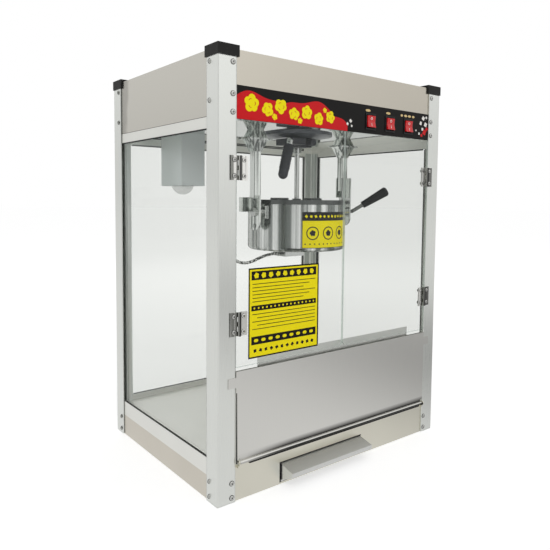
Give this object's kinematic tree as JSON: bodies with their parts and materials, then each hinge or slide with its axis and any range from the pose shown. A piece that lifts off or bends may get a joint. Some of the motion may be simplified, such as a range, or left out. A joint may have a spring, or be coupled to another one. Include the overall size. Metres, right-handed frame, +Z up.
{
  "type": "popcorn maker",
  "caption": "Countertop popcorn cabinet with glass doors, a tilting stirred kettle, a serving flap and a kernel drawer.",
  "frame": {"origin": "middle of the footprint, on the plane of the post feet and the bottom plate", "axes": "+X to the right seen from the front, +Y to the back, +Z up"},
  "size_m": [0.564, 0.452, 0.755],
  "materials": {
    "post_aluminium": "satin anodised extrusion, fine lengthwise drawing lines",
    "black_plastic": "moulded black, slight grain",
    "hood_steel": "fine brushed stainless sheet, soft reflections",
    "bright_steel": "polished stainless, near mirror",
    "brushed_sheet": "satin stainless sheet",
    "sign_print": null,
    "clear_glass": "clear, polished edges",
    "fastener_steel": "nickel plated",
    "lamp_ceramic": "glazed",
    "bulb_glass": "frosted white",
    "dark_grey_cover": "satin dark grey paint",
    "motor_paint": "semi-gloss paint",
    "dark_grip": "dark ribbed phenolic",
    "kettle_steel": "polished stainless, vertical streaky reflections",
    "heater_cast": "rough cast",
    "lid_metal": "dark non-stick coating",
    "red_rocker": "translucent red, glossy",
    "braided_lead": "metal braid over a flexible lead"
  },
  "bodies": {
    "root": {"post_front_left": "post_aluminium", "post_front_right": "post_aluminium", "post_rear_left": "post_aluminium", "post_rear_right": "post_aluminium", "corner_caps": "black_plastic", "switch_frames": "black_plastic", "mains_inlet": "black_plastic", "roof_panel": "hood_steel", "hood_panels": "hood_steel", "front_fascia": "hood_steel", "base_skirts": "hood_steel", "base_front_plate": "hood_steel", "bottom_plate": "hood_steel", "ceiling_panel": "bright_steel", "glass_rails": "bright_steel", "lamp_housing": "bright_steel", "hanger_left": "bright_steel", "hanger_right": "bright_steel", "lead_socket": "bright_steel", "floor_pan": "brushed_sheet", "front_cross_rail": "brushed_sheet", "drawer_runners": "brushed_sheet", "sign_panel": "sign_print", "side_glass_left": "clear_glass", "side_glass_right": "clear_glass", "rear_glass": "clear_glass", "frame_screws": "fastener_steel", "hinge_post_leaves": "fastener_steel", "hinge_pins": "fastener_steel", "lamp_socket": "lamp_ceramic", "lamp_bulb": "bulb_glass", "drive_cover": "dark_grey_cover", "drive_block": "dark_grey_cover", "gear_motor": "motor_paint", "kettle_lead": "braided_lead"},
    "left_door": {"door_left_glass": "clear_glass", "door_left_leaves": "fastener_steel"},
    "right_door": {"door_right_glass": "clear_glass", "door_right_leaves": "fastener_steel"},
    "flap": {"serving_flap": "brushed_sheet"},
    "drawer": {"drawer_tray": "brushed_sheet", "drawer_pull": "brushed_sheet"},
    "kettle": {"kettle_shell": "kettle_steel", "kettle_pan": "kettle_steel", "heating_plate": "heater_cast", "kettle_terminal_box": "kettle_steel", "kettle_trunnions": "fastener_steel", "kettle_bridge": "lid_metal", "dump_rod": "fastener_steel", "dump_grip": "dark_grip"},
    "front_lid": {"lid_front": "lid_metal"},
    "back_lid": {"lid_rear": "lid_metal"},
    "stirring_shaft": {"stirrer": "kettle_steel"},
    "coupling": {"drive_coupling": "bright_steel"},
    "lever": {"release_lever": "fastener_steel", "release_grip": "dark_grip"},
    "switch_1": {"rocker_1": "red_rocker"},
    "switch_2": {"rocker_2": "red_rocker"},
    "switch_3": {"rocker_3": "red_rocker"}
  },
  "joints": [
    {"name": "left_door_hinge", "type": "hinge", "parent": "root", "child": "left_door", "pos_m": [-0.24, -0.213, 0.43], "axis": [0, 0, -1], "range_deg": [0, 120]},
    {"name": "right_door_hinge", "type": "hinge", "parent": "root", "child": "right_door", "pos_m": [0.24, -0.213, 0.43], "axis": [0, 0, 1], "range_deg": [0, 120]},
    {"name": "flap_hinge", "type": "hinge", "parent": "root", "child": "flap", "pos_m": [0, -0.2133, 0.067], "axis": [1, 0, 0], "range_deg": [0, 90]},
    {"name": "drawer_slide", "type": "slide", "parent": "root", "child": "drawer", "axis": [0, -1, 0], "range_m": [0, 0.22]},
    {"name": "kettle_tilt", "type": "hinge", "parent": "root", "child": "kettle", "pos_m": [0, -0.081, 0.485], "axis": [1, 0, 0], "range_deg": [0, 80], "deforming": ["kettle_lead"]},
    {"name": "front_lid_hinge", "type": "hinge", "parent": "kettle", "child": "front_lid", "pos_m": [0, -0.0786, 0.5106], "axis": [-1, 0, 0], "range_deg": [0, 45]},
    {"name": "back_lid_hinge", "type": "hinge", "parent": "kettle", "child": "back_lid", "pos_m": [0, -0.0534, 0.5106], "axis": [1, 0, 0], "range_deg": [0, 70]},
    {"name": "stirrer_spin", "type": "hinge", "parent": "kettle", "child": "stirring_shaft", "pos_m": [0, -0.066, 0.5], "axis": [0, 0, 1], "continuous": true},
    {"name": "drive_spin", "type": "hinge", "parent": "root", "child": "coupling", "pos_m": [0, -0.066, 0.61], "axis": [0, 0, 1], "continuous": true},
    {"name": "release_lever_hinge", "type": "hinge", "parent": "root", "child": "lever", "pos_m": [-0.056, -0.112, 0.624], "axis": [-1, 0, 0], "range_deg": [0, 75]},
    {"name": "switch_1_rock", "type": "hinge", "parent": "root", "child": "switch_1", "pos_m": [0.068, -0.2035, 0.6625], "axis": [1, 0, 0], "range_deg": [0, 8]},
    {"name": "switch_2_rock", "type": "hinge", "parent": "root", "child": "switch_2", "pos_m": [0.124, -0.2035, 0.6625], "axis": [1, 0, 0], "range_deg": [0, 8]},
    {"name": "switch_3_rock", "type": "hinge", "parent": "root", "child": "switch_3", "pos_m": [0.18, -0.2035, 0.6625], "axis": [1, 0, 0], "range_deg": [0, 8]}
  ],
  "couplings": [
    {"joint": "drive_spin", "follows": "stirrer_spin", "ratio": 1}
  ]
}
